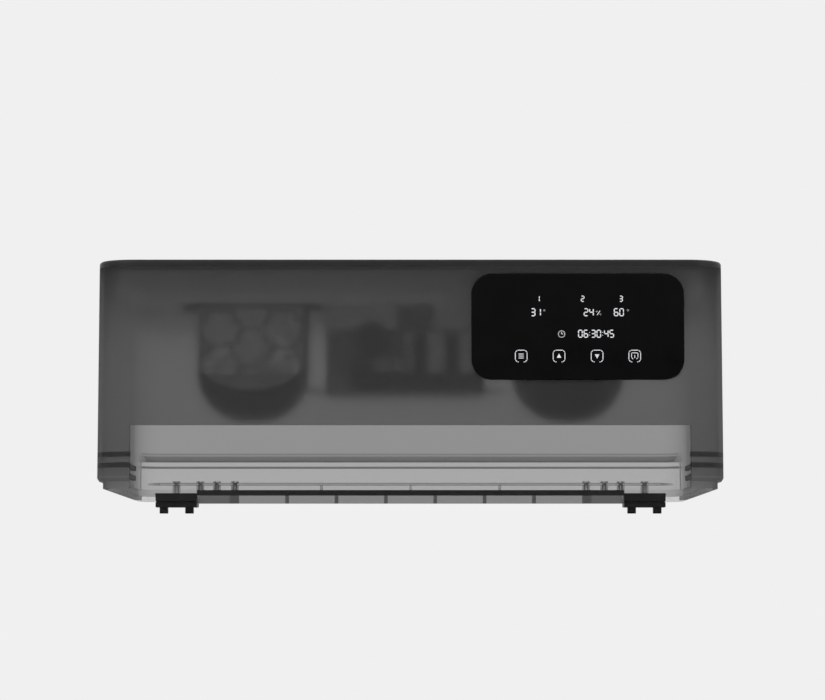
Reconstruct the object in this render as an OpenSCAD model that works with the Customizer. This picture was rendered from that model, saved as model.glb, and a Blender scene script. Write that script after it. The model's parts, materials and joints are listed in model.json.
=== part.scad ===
// Heated drying hood for four filament spools: a smoked hood that takes the place of a spool
// changer's lid, with two circulation fans, a heater, a touch display and plug-in rear hinges.
// The hood faces -Y, +X is to its right, and Z is 0 under the hinge feet.

/* [Hood] */
// Width across the bottom of the hood
hood_w = 377; // [320:1:450]
// Depth from the front wall to the rear wall
hood_d = 288; // [235:1:350]
// Height of the walls above their lower edge
wall_h = 128.6; // [107:0.1:160]
// Thickness of the walls
wall_t = 3; // [2.4:0.1:3.6]
// Radius of the upright corners, seen from above
corner_r = 22; // [16:1:32]
// How far each side wall leans in from bottom to top
side_draft = 0.8; // [0.4:0.1:3]
// Thickness of the roof panel
roof_t = 4; // [2:0.1:5]
// Depth of the roof panel's locating lip
roof_lip_h = 2.2; // [2:0.1:6]

/* [Rim] */
// Height of the rim above the tips of the hinge feet
rim_z = 8.7; // [8.7:0.1:12]
// How far the inner lip reaches below the walls
lip_h = 4.2; // [3:0.1:6]
// Thickness of the inner lip
lip_t = 2.4; // [1.6:0.1:3]
// Step from the outer face of the walls in to the lip
lip_step = 3.5; // [3:0.1:4.5]
// Width of the chamfer round the foot of the walls
foot_chamfer = 1.3; // [0.5:0.1:2]
// Width of the opening in the front wall
notch_w = 335.4; // [240:0.2:336]
// Height of the opening above the rim
notch_h = 37.5; // [20:0.5:45]
// How far the stiffening ribs stand in from the walls
rib_depth = 3; // [1.5:0.5:5]

/* [Rear edge] */
// Thickness of the rear wall beside the shelf
rear_t = 2; // [1.6:0.1:2.4]
// Depth of the shelf that carries the hinges
shelf_d = 16; // [14:0.5:22]
// Depth of the black rail under the shelf
rail_d = 12; // [10:0.5:14]
// Thickness of the rail
rail_t = 3.4; // [2.4:0.1:4.5]
// Distance between the ribs of the rear skirt
skirt_pitch = 33.3; // [24:0.1:34]

/* [Hinges] */
// Distance between the middles of the two hinges
hinge_spacing = 315; // [260:1:316]
// Width of a hinge
hinge_w = 27.7; // [22:0.1:32]
// Diameter of a hinge pin
pin_d = 3; // [2:0.1:4]
// Radius of the hinge knuckles
knuckle_r = 4.3; // [3.8:0.1:4.6]
// Thickness of the plate of a foot
foot_t = 3.3; // [2.5:0.1:3.6]
// Width of a plug-in prong
prong_w = 5.5; // [4:0.1:7]

/* [Display] */
// Width of the glass
glass_w = 127.2; // [90:0.1:150]
// Height of the glass
glass_h = 63.7; // [50:0.1:70]
// Corner radius of the glass
glass_r = 12.5; // [6:0.5:20]
// Thickness of the glass
glass_t = 1.6; // [1:0.1:2.5]
// Gap between the glass and the right side of the hood
glass_side = 24.8; // [20:0.1:60]
// Gap between the glass and the roof panel
glass_drop = 4.7; // [4:0.1:12]
// Depth of the housing behind the glass
display_d = 12; // [10:0.5:15]

/* [Fans] */
// Distance between the middles of the two fans
fan_spacing = 192.8; // [184:0.2:210]
// Half the width of a fan drum at its wider end
drum_r = 34.2; // [30:0.2:38]
// Depth of a fan drum
drum_d = 36; // [32:0.5:44]
// How much each side of a drum leans in towards its guard
drum_taper = 2.4; // [0:0.1:4]
// Wall of a fan drum
drum_wall = 2.2; // [1.6:0.1:3]
// Distance from the tray down to the fans' axis
fan_drop = 40.6; // [36:0.1:46]
// Distance from the front wall back to the left fan
fan_setback = 28; // [22:1:50]
// Number of blades
blades = 7; // [5:1:9]
// Radius of the rotor's hub
hub_r = 11; // [9:0.5:13]
// Diameter of the motor shaft
shaft_d = 3; // [2:0.1:4]
// Length of a side of the guard's hexagons
cell_side = 12.7; // [8:0.1:16]
// Width of the guard's ribs
cell_rib = 1.2; // [0.8:0.1:2]

/* [Heater] */
// Distance from the front wall back to the heater duct
duct_setback = 50; // [46:1:80]
// Width of the heater duct
duct_w = 97; // [90:1:100]
// Height of the heater duct
duct_h = 54; // [44:0.5:60]
// Depth of the heater duct
duct_d = 46; // [40:1:60]
// Distance between the fins
fin_pitch = 2.5; // [2:0.1:4]
// Width of a heating element
element_w = 8; // [5:0.1:9]

/* [Deck] */
// Height of the tray that closes the electronics off
deck_h = 20.5; // [18:0.5:26]
// Gap between the tray and the side walls
deck_gap = 8; // [5:0.5:14]

/* [Fit] */
// Gap round pieces that slip into each other
slip = 0.15; // [0.1:0.05:0.3]
// Radial running clearance of pins and shafts
running = 0.05; // [0.02:0.01:0.09]

/* [Hidden] */
$fn = 48;
thin = 0.01;
wall_z = rim_z + lip_h;
roof_z = wall_z + wall_h;
deck_z = roof_z - deck_h;
hood_top_w = hood_w - 2 * side_draft;
gasket_t = 0.4;
glass_proud = glass_t + gasket_t;

// Hinge line behind the rear wall
knuckle_gap = 0.9;
hinge_out = 2 * knuckle_r + knuckle_gap;
front_y = -(hood_d + hinge_out + glass_proud) / 2 + glass_proud;
rear_y = front_y + hood_d;
mid_y = (front_y + rear_y) / 2;
axis_y = rear_y + knuckle_gap + knuckle_r;
axis_z = rim_z + 0.1;

// Rim and ribs: heights are above the rim, and a rear rib has its depth at the top and at the foot
chamfer_h = 2;
ledge_z = wall_z + 3;
lip_in = lip_step + lip_t;
front_ribs = [[12.2, 3.1], [18.7, 3]];
rear_ribs = [[21.7, 1.3, 2, 2], [26.3, 3.4, 2.5, 5], [31.1, 0.7, 1.3, 1.3]];
rear_thin_z = rim_z + 25.8;
rear_half = hood_w / 2 - corner_r;
seal_t = 1.6;
seal_h = 2.7;
seal_window = 10;

// Rear shelf, rail, skirt and screws
shelf_t = 1.35;
shelf_z = rim_z + 10.25;
rail_z = rim_z + 3.4;
rail_top = rail_z + rail_t;
rail_y = rear_y - lip_in - 0.3;
bolt_y = rail_y - rail_d / 2;
hinge_x = hinge_spacing / 2;
hinge_in = hinge_x - hinge_w / 2;
hinge_far = hinge_x + hinge_w / 2;
hinge_slot = hinge_w / 2 + 1;
rail_half = hinge_in - 0.2;
skirt_half = hinge_in - 1;
skirt_z = rim_z - 1.9;
skirt_out = 1.1;
skirt_y = rear_y - lip_in;
skirt_rib_w = 2.3;
skirt_rib_d = 4;
thick_rib_w = 6;
thick_skirt_w = 20.8;
rail_bolts = [2.2, 13.3, 25.4];
bolt_r = 1.45;
bolt_hole_r = bolt_r + running;
gusset_x = 60;
gusset_t = 1.6;

// Hinge levels
leaf_top = rim_z + 4.7;
leaf_gap = 0.4;
foot_top = leaf_top - 5.9;
foot_low = foot_top - foot_t;
leaf_low = foot_top + leaf_gap;
knuckle_w = 8;
side_play = 0.35;
reach = rail_y - rail_d;
foot_reach = 2;
prong_d = 6;
prong_in = 2.5;
prong_bevel = 0.8;
prong_barb = 0.7;

// Display
glass_x = hood_w / 2 - glass_side - glass_w / 2;
glass_z = roof_z - glass_drop - glass_h / 2;
cutout_side = 10;
cutout_edge = 4.5;
figure_board = [glass_w - 19, glass_h - 14];
housing_w = glass_w - 3.5;
housing_h = glass_h - 3.5;
housing_r = 5;
back_t = 1.8;
display_y = front_y + wall_t;
display_back = display_y + display_d;
cable_z = glass_z + housing_h / 2 - 8;
cable_w = 18;
cable_t = 0.6;
vent_w = 2;
vent_h = 18;
vent_pitch = 6;
post_r = 2.6;
post_in = back_t + post_r + 0.4;

// Fans
fan_z = deck_z - fan_drop;
fan_y = front_y + fan_setback;
drum_flat = 4.4;
mouth_r = drum_r - drum_taper;
inlet_r = 48.9;
inlet_low = 11.7;
band_top = -2;
cell_z = 14.3;
guard_t = 2;
guard_edge = 1;
screen_t = 0.5;
face_t = guard_t + screen_t;
bore_r = drum_r - drum_flat - 2.4;
rotor_r = bore_r - 1.2;
rotor_d = 11.5;
motor_r = 12;
motor_t = 5;
rotor_y = drum_d - motor_t - 1.3 - rotor_d;
plenum = rotor_y - 1.7;
strut_w = 3.2;
ear = 8;
ear_t = 3;
ear_d = 14;
small_r = 1.2;
blade_pitch = 38;
blade_bend_r = 17;
blade_t = 1.2;

// Heater
duct_x = -3;
duct_t = 1.2;
duct_left = duct_x - duct_w / 2;
duct_right = duct_x + duct_w / 2;
duct_z = deck_z - duct_h;
duct_y = front_y + duct_setback;
duct_back = duct_y + duct_d;
bay_w = 48;
apron = 12.5;
header = 17.5;
core_x = duct_left + bay_w;
core_w = duct_w - bay_w - duct_t;
core_y = duct_y + 6;
core_d = 22;
core_low = duct_z + apron;
core_high = deck_z - header;
fin_t = 0.4;
fin_edge = 0.8;
element_x = [core_x + core_w * 0.2, core_x + core_w * 0.605];
flange_w = 9;
flange_l = 14;
tie_z = duct_z + 3;
tie_h = 2.4;
tie_d = 8;
tie_reach = [13, 11];
clamp_z = [duct_z + 1.8, core_low];
cutout_x = duct_x - 20.7;
cutout_z = deck_z - 20;
cutout_r = 9.5;
block_x = [duct_x - 20.4, duct_x + 2.2];
block_z = [core_low + 0.9, core_low + 9.1];
block_d = 9;
block_pitch = 7.3;
fuse_size = [11.6, 8, 18.2];
fuse_x = duct_x - 32.2;
lead_x = [duct_left + 9.5, duct_left + 15.5];
lead_y = duct_y + duct_d / 2;
lead_r = 1.2;
lead_hole_r = 2;

// Deck, with an apron in front of the heater that leaves a gap in its middle
deck_t = 2.4;
deck_wall = 2;
deck_front = display_back + 9;
deck_rear = rear_y - wall_t - 6;
deck_w = hood_top_w - 2 * wall_t - 2 * deck_gap;
deck_mid = (deck_front + deck_rear) / 2;
deck_d = deck_rear - deck_front;
deck_r = 14;
deck_floor = deck_z + deck_t;
post_inset = 12;
apron_h = 14;
apron_t = 2.2;
apron_gap = [duct_x - 5, duct_x + 17];

// Power supply
board_size = [120, 80, 1.6];
board_x = 95;
board_y = deck_mid + 34;
board_z = deck_floor + 3;
board_top = board_z + board_size[2];
board_in = 5;
coil_size = [28, 24, 3];
capacitors = [[22, -14], [22, 8], [40, -3]];
capacitor_r = 6;
capacitor_h = 11;

// Power inlet, to the usual 27 by 20 mm panel cut-out
inlet_x = 110;
inlet_z = deck_z - 16;
inlet_cut = [27.2, 20];
inlet_flange = [31, 24, 2.4];
inlet_body_d = 17;
inlet_pin = [2, 4];
boot_d = 14;
boot_back = rear_y - inlet_body_d;
boot_y = boot_back - boot_d / 2;
inlet_lead_x = [-6, 0, 6];
inlet_lead_r = 1.4;

// Humidity sensor
sensor_size = [18, 13, 11];
sensor_x = glass_x + 42;
sensor_y = fan_y + drum_d + 8;

// ---- shapes used by several pieces ----

// Rectangle with round corners
module rounded(w, d, r) {
    square([w - 2 * r, d], center = true);
    square([w, d - 2 * r], center = true);
    for (x = [-1, 1], y = [-1, 1]) translate([x * (w / 2 - r), y * (d / 2 - r)]) circle(r);
}

// Plan outline of the hood, moved in from the outer faces
module plan(w, inset) {
    translate([0, mid_y]) rounded(w - 2 * inset, hood_d - 2 * inset, corner_r - inset);
}

// Straight block of the plan outline
module plan_block(w, inset, z0, z1) {
    translate([0, 0, z0]) linear_extrude(z1 - z0) plan(w, inset);
}

// Thin slice of the plan outline, for the drafted blocks
module slice(w, inset, z) {
    plan_block(w, inset, z, z + thin, $fn = 64);
}

// Box between two corners
module block(low, high) {
    translate(low) cube(high - low);
}

// Flat outline in X and Z, pushed back along Y from a given place
module along_y(y, length) {
    translate([0, y + length, 0]) rotate([90, 0, 0]) linear_extrude(length) children();
}

// Flat outline in Y and Z, pushed along X from a given place
module along_x(x, length) {
    translate([x, 0, 0]) rotate([90, 0, 90]) linear_extrude(length) children();
}

// Round bar or hole along Y
module rod_y(x, y, z, r, length) {
    translate([x, y, z]) rotate([-90, 0, 0]) cylinder(r = r, h = length);
}

// Screw with its seat at Z 0 and its shank going up
module screw(r, length, head_r, head_h) {
    cylinder(r = r, h = length);
    translate([0, 0, -head_h]) difference() {
        cylinder(r = head_r, h = head_h);
        translate([0, 0, -thin]) cylinder(r = head_r * 0.45, h = head_h * 0.5, $fn = 6);
    }
}

// ---- hood ----

// Screws through the rear shelf: X, how low the shelf's spacer reaches, and the tip of the screw
function shelf_bolts() = concat(
    [for (s = [-1, 1]) [s * hinge_x, leaf_top, leaf_low + 1]],
    [for (s = [-1, 1], d = rail_bolts) [s * (hinge_in - d), rail_top, rail_z + 0.4]]
);

module drafted_outside() {
    hull() {
        slice(hood_w, foot_chamfer, wall_z);
        slice(hood_w, 0, wall_z + chamfer_h);
        slice(hood_top_w, 0, roof_z - thin);
    }
}

module drafted_inside() {
    hull() {
        slice(hood_w, wall_t, ledge_z);
        slice(hood_top_w, wall_t, roof_z + 1);
    }
}

// Ribs that stiffen the front corners and the sides
module side_ribs() {
    for (rib = front_ribs) difference() {
        plan_block(hood_w, wall_t - 0.6, rim_z + rib[0], rim_z + rib[0] + rib[1]);
        plan_block(hood_w, wall_t + rib_depth, 0, roof_z);
        block([-hood_w, rear_y - 2 * corner_r, 0], [hood_w, rear_y + 1, roof_z]);
    }
}

// Ribs across the inner face of the rear wall
module rear_wall_ribs() {
    face = rear_y - wall_t;
    for (rib = rear_ribs) {
        low = rim_z + rib[0];
        top = low + rib[1];
        along_x(-rear_half, 2 * rear_half)
            polygon([[rear_y - 1, low], [face - rib[3], low], [face - rib[2], top], [rear_y - 1, top]]);
    }
}

// Skirt between the hinges, with its short upright ribs and a thick stretch at each end
module rear_skirt() {
    top = rail_z - slip;
    block([-skirt_half, skirt_y, skirt_z], [skirt_half, rear_y - lip_step + skirt_out, wall_z + 1]);
    count = floor((skirt_half - thick_skirt_w) / skirt_pitch);
    for (i = [-count + 0.5 : count - 0.5]) translate([i * skirt_pitch, 0, 0])
        block([-skirt_rib_w / 2, skirt_y - skirt_rib_d, skirt_z], [skirt_rib_w / 2, skirt_y + 0.5, top]);
    for (s = [-1, 1]) {
        translate([s * (skirt_half - thick_skirt_w / 2), 0, 0])
            block([-thick_skirt_w / 2, skirt_y - 2, skirt_z], [thick_skirt_w / 2, skirt_y + 0.5, top]);
        translate([s * (skirt_half - thick_skirt_w - thick_rib_w / 2), 0, 0])
            block([-thick_rib_w / 2, skirt_y - skirt_rib_d, skirt_z], [thick_rib_w / 2, skirt_y + 0.5, top]);
    }
}

module rear_shelf() {
    half = rear_half + 10;
    front = rear_y - wall_t - shelf_d;
    block([-half, front, shelf_z], [half, rear_y - 1, shelf_z + shelf_t]);
    for (bolt = shelf_bolts())
        translate([bolt[0], bolt_y, bolt[1]]) cylinder(r = post_r, h = shelf_z - bolt[1] + 0.5);
    for (i = [-1 : 1]) translate([i * gusset_x - gusset_t / 2, 0, 0])
        block([0, front, rail_top + slip], [gusset_t, skirt_y + 0.5, shelf_z + 0.5]);
}

function display_corners() = [
    for (x = [-1, 1], z = [-1, 1])
        [glass_x + x * (housing_w / 2 - post_in), glass_z + z * (housing_h / 2 - post_in)]
];

// Posts on the front wall that take the screws of the display housing
module display_posts() {
    for (p = display_corners())
        rod_y(p[0], display_y - 0.5, p[1], post_r, display_d - back_t + 0.5 - slip);
}

module hood_shell() {
    color([0.20, 0.20, 0.21, 0.6]) difference() {
        union() {
            difference() {
                union() {
                    drafted_outside();
                    plan_block(hood_w, lip_step, rim_z, wall_z + 1);
                }
                drafted_inside();
                plan_block(hood_w, lip_in, rim_z - 1, ledge_z + 0.5);
                block([-rear_half, rear_y - wall_t - 1, ledge_z], [rear_half, rear_y - rear_t, rear_thin_z]);
            }
            side_ribs();
            rear_wall_ribs();
            rear_skirt();
            rear_shelf();
            display_posts();
        }
        block([-notch_w / 2, front_y - 1, 0], [notch_w / 2, front_y + 12, rim_z + notch_h]);
        along_y(front_y - 1, wall_t + 2) translate([glass_x, glass_z])
            rounded(glass_w - 2 * cutout_side, glass_h - 2 * cutout_edge, 4);
        for (s = [-1, 1]) {
            block([s * hinge_x - hinge_slot, reach - 2, 0],
                  [s * hinge_x + hinge_slot, rear_y + 1, leaf_top + 0.4]);
            translate([s * (hinge_far + 1 + seal_window / 2), 0, 0])
                block([-seal_window / 2 - 0.5, mid_y, 0], [seal_window / 2, rear_y + 1, rim_z + seal_h]);
        }
        for (bolt = shelf_bolts())
            translate([bolt[0], bolt_y, 0]) cylinder(r = bolt_hole_r, h = shelf_z + 10);
        for (p = display_corners()) rod_y(p[0], display_y + 1, p[1], small_r + running, display_d);
        along_y(rear_y - wall_t - 1, wall_t + 2)
            translate([inlet_x, inlet_z]) square(inlet_cut, center = true);
    }
}

module top_panel() {
    color([0.06, 0.06, 0.065]) difference() {
        union() {
            plan_block(hood_top_w, 0, roof_z, roof_z + roof_t);
            difference() {
                plan_block(hood_top_w, wall_t + slip, roof_z - roof_lip_h, roof_z + 0.5);
                plan_block(hood_top_w, wall_t + slip + 2, 0, roof_z);
            }
            for (p = deck_posts())
                translate([p[0], p[1], deck_floor]) cylinder(r = post_r + 0.8, h = deck_h - deck_t + 0.5);
        }
        for (p = deck_posts())
            translate([p[0], p[1], deck_z]) cylinder(r = small_r + running, h = deck_h - 1);
    }
}

// Clear strip inside the lip, from one front corner round the back to the hinges on each side
module rim_seal() {
    color([0.85, 0.87, 0.88, 0.5]) difference() {
        plan_block(hood_w, lip_in + slip, rim_z - 1, rim_z + seal_h);
        plan_block(hood_w, lip_in + slip + seal_t, 0, roof_z);
        block([-hood_w, front_y - 1, 0], [hood_w, front_y + corner_r + 8, roof_z]);
        block([-hinge_far - 1, mid_y, 0], [hinge_far + 1, rear_y, roof_z]);
    }
}

// ---- rear rail and hinges ----

module rear_rail() {
    color([0.07, 0.07, 0.075]) difference() {
        block([-rail_half, rail_y - rail_d, rail_z], [rail_half, rail_y, rail_top]);
        for (bolt = shelf_bolts())
            translate([bolt[0], bolt_y, 0]) cylinder(r = bolt_hole_r, h = shelf_z);
    }
}

// Screws that hold the rail and the hinges up against the shelf, heads on top
module rail_screws() {
    color([0.55, 0.56, 0.58]) for (bolt = shelf_bolts())
        translate([bolt[0], bolt_y, shelf_z + shelf_t]) rotate([180, 0, 0])
            screw(bolt_r, shelf_z + shelf_t - bolt[2], 2.7, 1.2);
}

module knuckle(x0, x1) {
    translate([x0, axis_y, axis_z]) rotate([0, 90, 0]) cylinder(r = knuckle_r, h = x1 - x0);
}

module pin_bore(r) {
    translate([hinge_in - 1, axis_y, axis_z]) rotate([0, 90, 0]) cylinder(r = r, h = hinge_w + 2);
}

// Leaf on the right-hand side: a block with two outer knuckles
module hinge_leaf() {
    inner = hinge_in + knuckle_w;
    outer = hinge_far - knuckle_w;
    color([0.08, 0.08, 0.085]) difference() {
        union() {
            block([hinge_in, reach, leaf_low], [hinge_far, axis_y, leaf_top]);
            knuckle(hinge_in, inner);
            knuckle(outer, hinge_far);
        }
        translate([inner, axis_y, axis_z]) rotate([0, 90, 0])
            cylinder(r = knuckle_r + leaf_gap, h = outer - inner);
        block([inner, axis_y - 1, leaf_low - 5], [outer, axis_y + 5, leaf_top + 1]);
        pin_bore(pin_d / 2 + running);
        translate([hinge_x, bolt_y, leaf_low + 0.8]) cylinder(r = bolt_hole_r, h = 20);
    }
}

// Foot on the right-hand side: a plate with the middle knuckle, two prongs and a screw hole
module hinge_foot() {
    tongue_in = hinge_in + knuckle_w + side_play;
    tongue_far = hinge_far - knuckle_w - side_play;
    plate_end = axis_y - knuckle_r - leaf_gap - 0.1;
    b = prong_bevel;
    color([0.09, 0.09, 0.095]) difference() {
        union() {
            block([hinge_in, reach + foot_reach, foot_low], [hinge_far, plate_end, foot_top]);
            block([tongue_in, plate_end - 1, foot_low + 0.4], [tongue_far, axis_y, foot_top]);
            knuckle(tongue_in, tongue_far);
            for (x = [hinge_in + prong_in, hinge_far - prong_in - prong_w])
                along_x(x, prong_w) translate([bolt_y, 0])
                    polygon([[0, foot_low + 0.1], [0, b], [b, 0], [prong_d - b, 0], [prong_d, b],
                             [prong_d + prong_barb, 1.9], [prong_d, 3], [prong_d, foot_low + 0.1]]);
        }
        pin_bore(pin_d / 2 + running);
        translate([hinge_x, bolt_y + prong_d / 2, foot_low - 1]) cylinder(r = bolt_hole_r, h = foot_t + 2);
    }
}

module hinge_pin() {
    color([0.7, 0.7, 0.72]) translate([hinge_in + 0.3, axis_y, axis_z]) rotate([0, 90, 0]) {
        cylinder(r = pin_d / 2, h = hinge_w);
        translate([0, 0, hinge_w - 0.3]) cylinder(r = pin_d / 2 + 0.8, h = 0.8);
    }
}

module hinge_leaf_left() { mirror([1, 0, 0]) hinge_leaf(); }
module hinge_leaf_right() { hinge_leaf(); }
module hinge_foot_left() { mirror([1, 0, 0]) hinge_foot(); }
module hinge_foot_right() { hinge_foot(); }
module hinge_pin_left() { mirror([1, 0, 0]) hinge_pin(); }
module hinge_pin_right() { hinge_pin(); }

// ---- display ----

module display_glass() {
    color([0.02, 0.02, 0.025]) along_y(front_y - glass_proud, glass_t)
        translate([glass_x, glass_z]) rounded(glass_w, glass_h, glass_r);
}

module display_gasket() {
    color([0.1, 0.1, 0.1]) along_y(front_y - gasket_t, gasket_t) translate([glass_x, glass_z]) difference() {
        rounded(glass_w - 1, glass_h - 1, glass_r - 0.5);
        rounded(glass_w - 2 * cutout_side + 1, glass_h - 2 * cutout_edge + 1, 4.5);
    }
}

// Frame with one well for each row of figures and each key
module display_reflector() {
    w = glass_w - 2 * cutout_side - 2;
    h = glass_h - 2 * cutout_edge - 2;
    color([0.85, 0.85, 0.83]) along_y(front_y - gasket_t, wall_t + gasket_t + 2)
        translate([glass_x, glass_z]) difference() {
            rounded(w, h, 3);
            for (row = [0, 1], i = [-1 : 1])
                translate([i * w / 3.6, h / 5 - row * h / 4]) square([w / 5, h / 7], center = true);
            for (i = [-1.5 : 1.5]) translate([i * w / 5, -h / 3.2]) square([8, 8], center = true);
        }
}

// Board with its controller and its plug, both on the back
module display_board() {
    back = display_y + 3.6;
    color([0.05, 0.25, 0.12]) along_y(display_y + 2, 1.6)
        translate([glass_x, glass_z]) square(figure_board, center = true);
    color([0.1, 0.1, 0.1]) along_y(back, 2)
        translate([glass_x + glass_w / 4, glass_z]) square([12, 12], center = true);
    color([0.9, 0.88, 0.8]) along_y(back, 5)
        translate([glass_x - glass_w / 4, glass_z + 12]) square([16, 5], center = true);
}

module display_housing() {
    color([0.06, 0.06, 0.065]) difference() {
        along_y(display_y, display_d) translate([glass_x, glass_z]) rounded(housing_w, housing_h, housing_r);
        along_y(display_y - 1, display_d - back_t + 1) translate([glass_x, glass_z])
            rounded(housing_w - 2 * back_t, housing_h - 2 * back_t, housing_r - back_t);
        for (p = display_corners()) rod_y(p[0], display_y, p[1], small_r + running, display_d + 1);
        along_y(display_back - back_t - 1, back_t + 2) {
            translate([glass_x, cable_z]) square([cable_w + 3, cable_t + 1], center = true);
            for (i = [-3 : 3]) translate([glass_x + i * vent_pitch, glass_z - 8])
                square([vent_w, vent_h], center = true);
        }
    }
}

module display_screws() {
    color([0.6, 0.6, 0.62]) for (p = display_corners())
        translate([p[0], display_back, p[1]]) rotate([90, 0, 0]) screw(small_r, 9, 2.3, 1.3);
}

// Flat cable from the display housing into the deck
module display_cable() {
    color([0.85, 0.85, 0.82]) block([glass_x - cable_w / 2, display_y + 6, cable_z - cable_t / 2],
                                    [glass_x + cable_w / 2, deck_front + 8, cable_z + cable_t / 2]);
}

// ---- deck and power supply ----

function deck_posts() = [
    for (x = [-1 : 1], y = [-1, 1])
        [x * (deck_w / 2 - post_inset), deck_mid + y * (deck_d / 2 - post_inset)]
];

// Apron in front of the heater, in two lengths, with room for the cut-out
module heater_apron() {
    back = duct_y - slip;
    difference() {
        for (x = [[duct_left - 2, apron_gap[0]], [apron_gap[1], duct_right + 2]])
            block([x[0], back - apron_t, deck_z - apron_h], [x[1], back, deck_z + 0.5]);
        rod_y(cutout_x, duct_y - 20, cutout_z, cutout_r + 0.3, 30);
    }
}

module heater_deck() {
    color([0.2, 0.2, 0.21]) difference() {
        union() {
            translate([0, deck_mid, deck_z]) linear_extrude(deck_h - slip) rounded(deck_w, deck_d, deck_r);
            heater_apron();
        }
        translate([0, deck_mid, deck_floor]) linear_extrude(deck_h)
            rounded(deck_w - 2 * deck_wall, deck_d - 2 * deck_wall, deck_r - deck_wall);
        for (p = concat(deck_posts(), fan_ears(), duct_ears()))
            translate([p[0], p[1], deck_z - 1]) cylinder(r = small_r + running, h = deck_t + 2);
        for (x = lead_x) translate([x, lead_y, deck_z - 1]) cylinder(r = lead_hole_r, h = deck_t + 2);
        for (x = inlet_lead_x)
            translate([inlet_x + x, boot_y, deck_z - 1]) cylinder(r = inlet_lead_r + 0.3, h = deck_t + 2);
        block([glass_x - cable_w / 2 - 1, deck_front - 1, cable_z - cable_t / 2 - 0.5],
              [glass_x + cable_w / 2 + 1, deck_front + deck_wall + 1, cable_z + cable_t / 2 + 0.5]);
    }
}

module deck_screws() {
    color([0.6, 0.6, 0.62]) for (p = deck_posts())
        translate([p[0], p[1], deck_z]) screw(small_r, 10, 2.4, 1.4);
}

// Middles of the power board's four stand-offs
function board_corners() = [
    for (x = [-1, 1], y = [-1, 1])
        [board_x + x * (board_size[0] / 2 - board_in), board_y + y * (board_size[1] / 2 - board_in)]
];

module power_board() {
    color([0.07, 0.3, 0.14]) difference() {
        translate([board_x, board_y, board_z + board_size[2] / 2]) cube(board_size, center = true);
        for (p = board_corners())
            translate([p[0], p[1], board_z - 1]) cylinder(r = small_r + running, h = 4);
    }
    color([0.2, 0.2, 0.21]) for (p = board_corners()) translate([p[0], p[1], deck_floor]) difference() {
        cylinder(r = 3, h = board_z - deck_floor);
        translate([0, 0, 0.6]) cylinder(r = small_r + running, h = 4);
    }
}

module power_transformer() {
    color([0.85, 0.75, 0.2]) translate([board_x - 10, board_y, board_top]) {
        translate([0, 0, coil_size[2] / 2]) cube(coil_size, center = true);
        translate([-12, -8, coil_size[2]]) cube([24, 16, 8]);
    }
}

module power_capacitors() {
    color([0.12, 0.12, 0.3]) for (p = capacitors)
        translate([board_x + p[0], board_y + p[1], board_top]) cylinder(r = capacitor_r, h = capacitor_h);
}

function inlet_pin_places() = [[-7, -2], [0, 2], [7, -2]];

// Appliance inlet in the rear wall, pushed in from outside
module power_inlet() {
    color([0.05, 0.05, 0.05]) difference() {
        union() {
            along_y(rear_y, inlet_flange[2]) translate([inlet_x, inlet_z])
                rounded(inlet_flange[0], inlet_flange[1], 2);
            along_y(boot_back, inlet_body_d + 0.5) translate([inlet_x, inlet_z])
                square([inlet_cut[0] - 2 * slip, inlet_cut[1] - 2 * slip], center = true);
        }
        along_y(boot_back + inlet_flange[2] + 2, inlet_body_d) translate([inlet_x, inlet_z])
            polygon([[-12.2, -8], [12.2, -8], [12.2, 4], [8.2, 8], [-8.2, 8], [-12.2, 4]]);
        for (p = inlet_pin_places()) along_y(boot_back - 1, inlet_body_d)
            translate([inlet_x + p[0], inlet_z + p[1]])
                square([inlet_pin[0] + 2 * running, inlet_pin[1] + 2 * running], center = true);
    }
}

module inlet_pins() {
    color([0.8, 0.78, 0.7]) for (p = inlet_pin_places())
        along_y(boot_back - 6, inlet_body_d + 3) translate([inlet_x + p[0], inlet_z + p[1]])
            square(inlet_pin, center = true);
}

// Cover over the inlet's terminals
module inlet_boot() {
    color([0.08, 0.08, 0.085]) difference() {
        along_y(boot_back - boot_d, boot_d) translate([inlet_x, inlet_z])
            rounded(inlet_cut[0] + 2, inlet_cut[1] + 2, 2.5);
        along_y(boot_back - boot_d + 1.5, boot_d) translate([inlet_x, inlet_z])
            rounded(inlet_cut[0] - 1, inlet_cut[1] - 1, 1.5);
        for (x = inlet_lead_x)
            translate([inlet_x + x, boot_y, inlet_z]) cylinder(r = inlet_lead_r + 0.1, h = 30);
    }
}

module inlet_leads() {
    low = inlet_z + 5;
    color([0.1, 0.1, 0.1]) for (x = inlet_lead_x)
        translate([inlet_x + x, boot_y, low]) cylinder(r = inlet_lead_r, h = deck_floor + 2 - low);
}

// ---- fans, drawn with the guarded side facing -Y, its face at Y 0 and the axis at Z 0 ----

// Drum outline: a broad curve below, straight sides up to a given height
module drum_outline(r, up) {
    for (s = [-1, 1]) translate([s * drum_flat, 0]) circle(r - drum_flat);
    translate([-drum_flat, drum_flat - r]) square([2 * drum_flat, r]);
    translate([-r, 0]) square([2 * r, up]);
}

// Disc whose lower edge is the long arc that ends the guard
module arc_disc(grow) {
    translate([0, inlet_r - inlet_low]) circle(inlet_r + grow, $fn = 96);
}

module drum_ears() {
    inner = mouth_r - 1;
    for (s = [-1, 1]) translate([s * (inner + drum_r + ear) / 2, drum_d / 2, fan_drop - ear_t / 2])
        cube([drum_r + ear - inner, ear_d, ear_t], center = true);
}

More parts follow.
